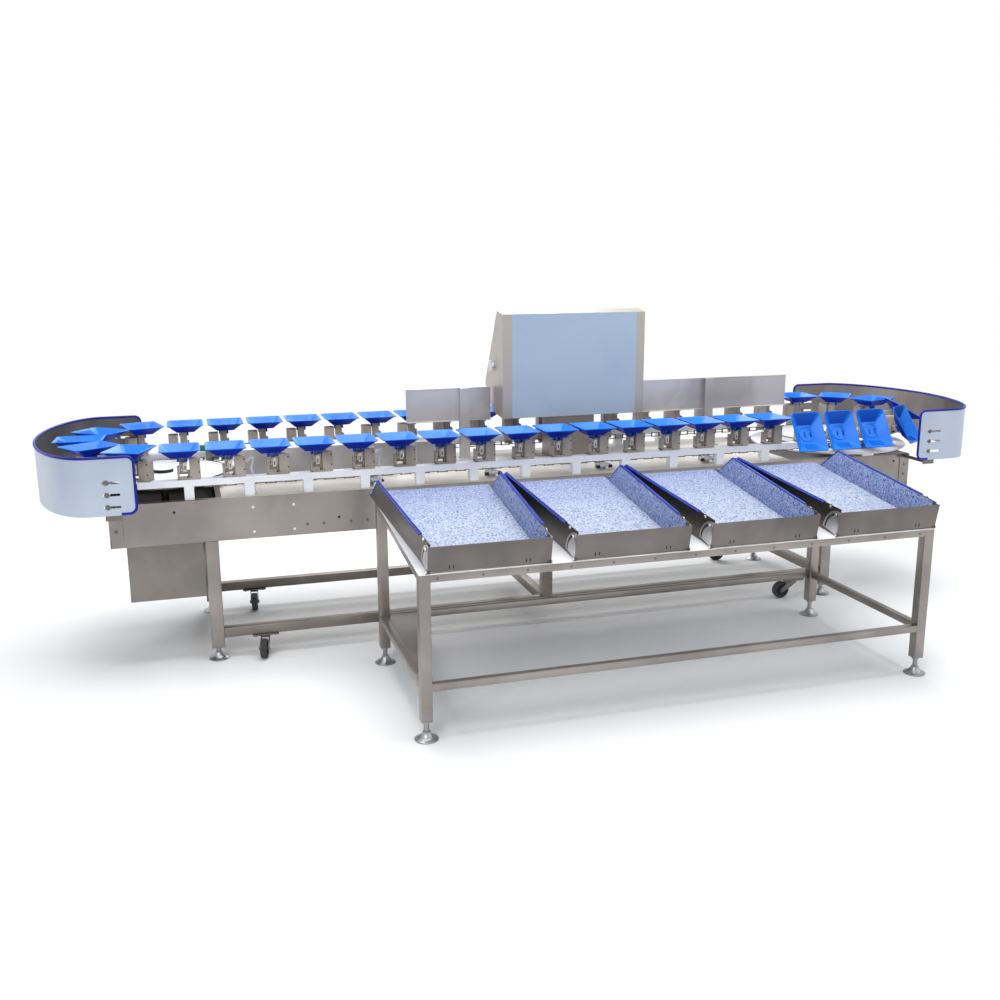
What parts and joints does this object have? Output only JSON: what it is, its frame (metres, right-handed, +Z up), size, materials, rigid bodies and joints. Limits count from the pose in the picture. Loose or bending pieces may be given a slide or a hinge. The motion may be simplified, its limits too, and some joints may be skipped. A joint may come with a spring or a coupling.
{
  "type": "weight sorting machine",
  "caption": "Fruit weight sorter: a loop of tipping trays on a long steel frame, tapered outlet chutes with folding gates on a bench in front, and a control cabinet.",
  "frame": {"origin": "middle of the whole assembly's footprint, on the floor", "axes": "+X along the machine, the way the front row of trays travels; +Y from the bench towards the machine's rear; +Z up"},
  "size_m": [4.066, 1.796, 1.302],
  "materials": {
    "steel": "brushed",
    "filmed_steel": "satin",
    "white_plastic": "matte",
    "cream_plastic": "matte",
    "blue_plastic": "glossy",
    "cream_sheet": "satin",
    "dark_paint": "satin",
    "tyre_rubber": "matte",
    "felted_steel": "matte",
    "red_plastic": "glossy",
    "green_plastic": "glossy",
    "screen_glass": "glossy"
  },
  "bodies": {
    "machine": {"beam_front": "steel", "beam_rear": "steel", "end_plate_left": "steel", "end_plate_right": "steel", "deck_plate": "cream_sheet", "end_disc": "white_plastic", "stand": "steel", "guard_left": "filmed_steel", "guard_right": "filmed_steel", "ride_rail_front": "white_plastic", "ride_rail_rear": "white_plastic", "rear_panel_left": "steel", "rear_panel_right": "steel", "deck_cover": "steel", "signal_box": "steel", "weigh_unit": "steel", "drive_box": "steel", "gear_motor": "dark_paint", "cabinet_shell": "filmed_steel", "cabinet_pedestal": "steel", "tray_train_front": "cream_plastic", "tray_train_rear": "cream_plastic", "chute_1": "felted_steel", "chute_2": "felted_steel", "chute_3": "felted_steel", "chute_4": "felted_steel", "bench_frame": "steel", "bench_sheet": "white_plastic"},
    "drive_wheel": {"drive_wheel": "white_plastic"},
    "idler_wheel": {"idler_wheel": "white_plastic"},
    "outlet_tray_1": {"outlet_tray_1": "blue_plastic"},
    "outlet_tray_2": {"outlet_tray_2": "blue_plastic"},
    "outlet_tray_3": {"outlet_tray_3": "blue_plastic"},
    "outlet_tray_4": {"outlet_tray_4": "blue_plastic"},
    "tipped_tray_1": {"tipped_tray_1": "blue_plastic"},
    "tipped_tray_2": {"tipped_tray_2": "blue_plastic"},
    "tipped_tray_3": {"tipped_tray_3": "blue_plastic"},
    "tipped_tray_4": {"tipped_tray_4": "blue_plastic"},
    "gate_1": {"gate_1": "steel"},
    "gate_2": {"gate_2": "steel"},
    "gate_3": {"gate_3": "steel"},
    "gate_4": {"gate_4": "steel"},
    "tripper_1": {"tripper_1": "white_plastic"},
    "tripper_2": {"tripper_2": "white_plastic"},
    "tripper_3": {"tripper_3": "white_plastic"},
    "tripper_4": {"tripper_4": "white_plastic"},
    "cabinet_door": {"cabinet_door": "steel", "touch_screen": "screen_glass"},
    "cabinet_latch": {"cabinet_latch": "white_plastic"},
    "start_button": {"start_button": "green_plastic"},
    "stop_button": {"stop_button": "red_plastic"},
    "emergency_stop": {"emergency_stop": "red_plastic"},
    "caster_fork_1": {"caster_fork_1": "steel"},
    "caster_wheel_1": {"caster_wheel_1": "tyre_rubber"},
    "caster_fork_2": {"caster_fork_2": "steel"},
    "caster_wheel_2": {"caster_wheel_2": "tyre_rubber"},
    "caster_fork_3": {"caster_fork_3": "steel"},
    "caster_wheel_3": {"caster_wheel_3": "tyre_rubber"},
    "caster_fork_4": {"caster_fork_4": "steel"},
    "caster_wheel_4": {"caster_wheel_4": "tyre_rubber"}
  },
  "joints": [
    {"name": "drive_wheel_turn", "type": "hinge", "parent": "machine", "child": "drive_wheel", "pos_m": [-1.57, 0.389, 0.688], "axis": [0, 0, 1], "continuous": true},
    {"name": "idler_wheel_turn", "type": "hinge", "parent": "machine", "child": "idler_wheel", "pos_m": [1.4825, 0.389, 0.688], "axis": [0, 0, 1], "continuous": true},
    {"name": "outlet_tray_1_tip", "type": "hinge", "parent": "machine", "child": "outlet_tray_1", "pos_m": [-0.512, 0.10539, 0.744], "axis": [1, 0, 0], "range_deg": [0, 59]},
    {"name": "outlet_tray_2_tip", "type": "hinge", "parent": "machine", "child": "outlet_tray_2", "pos_m": [-0.017, 0.10539, 0.744], "axis": [1, 0, 0], "range_deg": [0, 59]},
    {"name": "outlet_tray_3_tip", "type": "hinge", "parent": "machine", "child": "outlet_tray_3", "pos_m": [0.478, 0.10539, 0.744], "axis": [1, 0, 0], "range_deg": [0, 59]},
    {"name": "outlet_tray_4_tip", "type": "hinge", "parent": "machine", "child": "outlet_tray_4", "pos_m": [0.973, 0.10539, 0.744], "axis": [1, 0, 0], "range_deg": [0, 59]},
    {"name": "tipped_tray_1_tip", "type": "hinge", "parent": "machine", "child": "tipped_tray_1", "pos_m": [1.138, 0.10539, 0.744], "axis": [1, 0, 0], "range_deg": [-59, 0]},
    {"name": "tipped_tray_2_tip", "type": "hinge", "parent": "machine", "child": "tipped_tray_2", "pos_m": [1.303, 0.10539, 0.744], "axis": [1, 0, 0], "range_deg": [-59, 0]},
    {"name": "tipped_tray_3_tip", "type": "hinge", "parent": "machine", "child": "tipped_tray_3", "pos_m": [1.468, 0.10539, 0.744], "axis": [1, 0, 0], "range_deg": [-59, 0]},
    {"name": "tipped_tray_4_tip", "type": "hinge", "parent": "machine", "child": "tipped_tray_4", "pos_m": [1.63628, 0.15071, 0.744], "axis": [0.8402, 0.5422, 0], "range_deg": [-59, 0]},
    {"name": "gate_1_fold", "type": "hinge", "parent": "machine", "child": "gate_1", "pos_m": [-0.58, -0.87063, 0.5689], "axis": [1, 0, 0], "range_deg": [0, 70]},
    {"name": "gate_2_fold", "type": "hinge", "parent": "machine", "child": "gate_2", "pos_m": [-0.088, -0.87063, 0.5689], "axis": [1, 0, 0], "range_deg": [0, 70]},
    {"name": "gate_3_fold", "type": "hinge", "parent": "machine", "child": "gate_3", "pos_m": [0.404, -0.87063, 0.5689], "axis": [1, 0, 0], "range_deg": [0, 70]},
    {"name": "gate_4_fold", "type": "hinge", "parent": "machine", "child": "gate_4", "pos_m": [0.896, -0.87063, 0.5689], "axis": [1, 0, 0], "range_deg": [0, 70]},
    {"name": "tripper_1_lean", "type": "hinge", "parent": "machine", "child": "tripper_1", "pos_m": [-0.764, 0.15839, 0.7], "axis": [1, 0, 0], "range_deg": [0, 8], "stiffness_Nm_per_rad": 0.2},
    {"name": "tripper_2_lean", "type": "hinge", "parent": "machine", "child": "tripper_2", "pos_m": [-0.272, 0.15839, 0.7], "axis": [1, 0, 0], "range_deg": [0, 8], "stiffness_Nm_per_rad": 0.2},
    {"name": "tripper_3_lean", "type": "hinge", "parent": "machine", "child": "tripper_3", "pos_m": [0.22, 0.15839, 0.7], "axis": [1, 0, 0], "range_deg": [0, 8], "stiffness_Nm_per_rad": 0.2},
    {"name": "tripper_4_lean", "type": "hinge", "parent": "machine", "child": "tripper_4", "pos_m": [0.712, 0.15839, 0.7], "axis": [1, 0, 0], "range_deg": [0, 8], "stiffness_Nm_per_rad": 0.2},
    {"name": "cabinet_door_swing", "type": "hinge", "parent": "machine", "child": "cabinet_door", "pos_m": [-0.143, 0.56886, 1.13678], "axis": [0, -0.4961, 0.8682], "range_deg": [0, 100]},
    {"name": "cabinet_latch_turn", "type": "hinge", "parent": "machine", "child": "cabinet_latch", "pos_m": [-0.159, 0.53, 1.06], "axis": [1, 0, 0], "range_deg": [0, 90]},
    {"name": "start_button_push", "type": "slide", "parent": "cabinet_door", "child": "start_button", "axis": [0, -0.8682, -0.4961], "range_m": [0, 0.003], "stiffness_N_per_m": 300},
    {"name": "stop_button_push", "type": "slide", "parent": "cabinet_door", "child": "stop_button", "axis": [0, -0.8682, -0.4961], "range_m": [0, 0.003], "stiffness_N_per_m": 300},
    {"name": "emergency_stop_push", "type": "slide", "parent": "cabinet_door", "child": "emergency_stop", "axis": [0, -0.8682, -0.4961], "range_m": [0, 0.006]},
    {"name": "caster_1_swivel", "type": "hinge", "parent": "machine", "child": "caster_fork_1", "pos_m": [-1.226, 0.087, 0.078], "axis": [0, 0, 1], "continuous": true},
    {"name": "caster_1_roll", "type": "hinge", "parent": "caster_fork_1", "child": "caster_wheel_1", "pos_m": [-1.23681, 0.03614, 0.039], "axis": [0.9781, -0.2079, 0], "continuous": true},
    {"name": "caster_2_swivel", "type": "hinge", "parent": "machine", "child": "caster_fork_2", "pos_m": [-1.226, 0.691, 0.078], "axis": [0, 0, 1], "continuous": true},
    {"name": "caster_2_roll", "type": "hinge", "parent": "caster_fork_2", "child": "caster_wheel_2", "pos_m": [-1.22963, 0.63913, 0.039], "axis": [0.9976, -0.0698, 0], "continuous": true},
    {"name": "caster_3_swivel", "type": "hinge", "parent": "machine", "child": "caster_fork_3", "pos_m": [1.137, 0.087, 0.078], "axis": [0, 0, 1], "continuous": true},
    {"name": "caster_3_roll", "type": "hinge", "parent": "caster_fork_3", "child": "caster_wheel_3", "pos_m": [1.085, 0.087, 0.039], "axis": [0, -1, 0], "continuous": true},
    {"name": "caster_4_swivel", "type": "hinge", "parent": "machine", "child": "caster_fork_4", "pos_m": [1.137, 0.691, 0.078], "axis": [0, 0, 1], "continuous": true},
    {"name": "caster_4_roll", "type": "hinge", "parent": "caster_fork_4", "child": "caster_wheel_4", "pos_m": [1.09897, 0.72646, 0.039], "axis": [-0.682, -0.7314, 0], "continuous": true}
  ],
  "couplings": [
    {"joint": "idler_wheel_turn", "follows": "drive_wheel_turn", "ratio": 1}
  ]
}
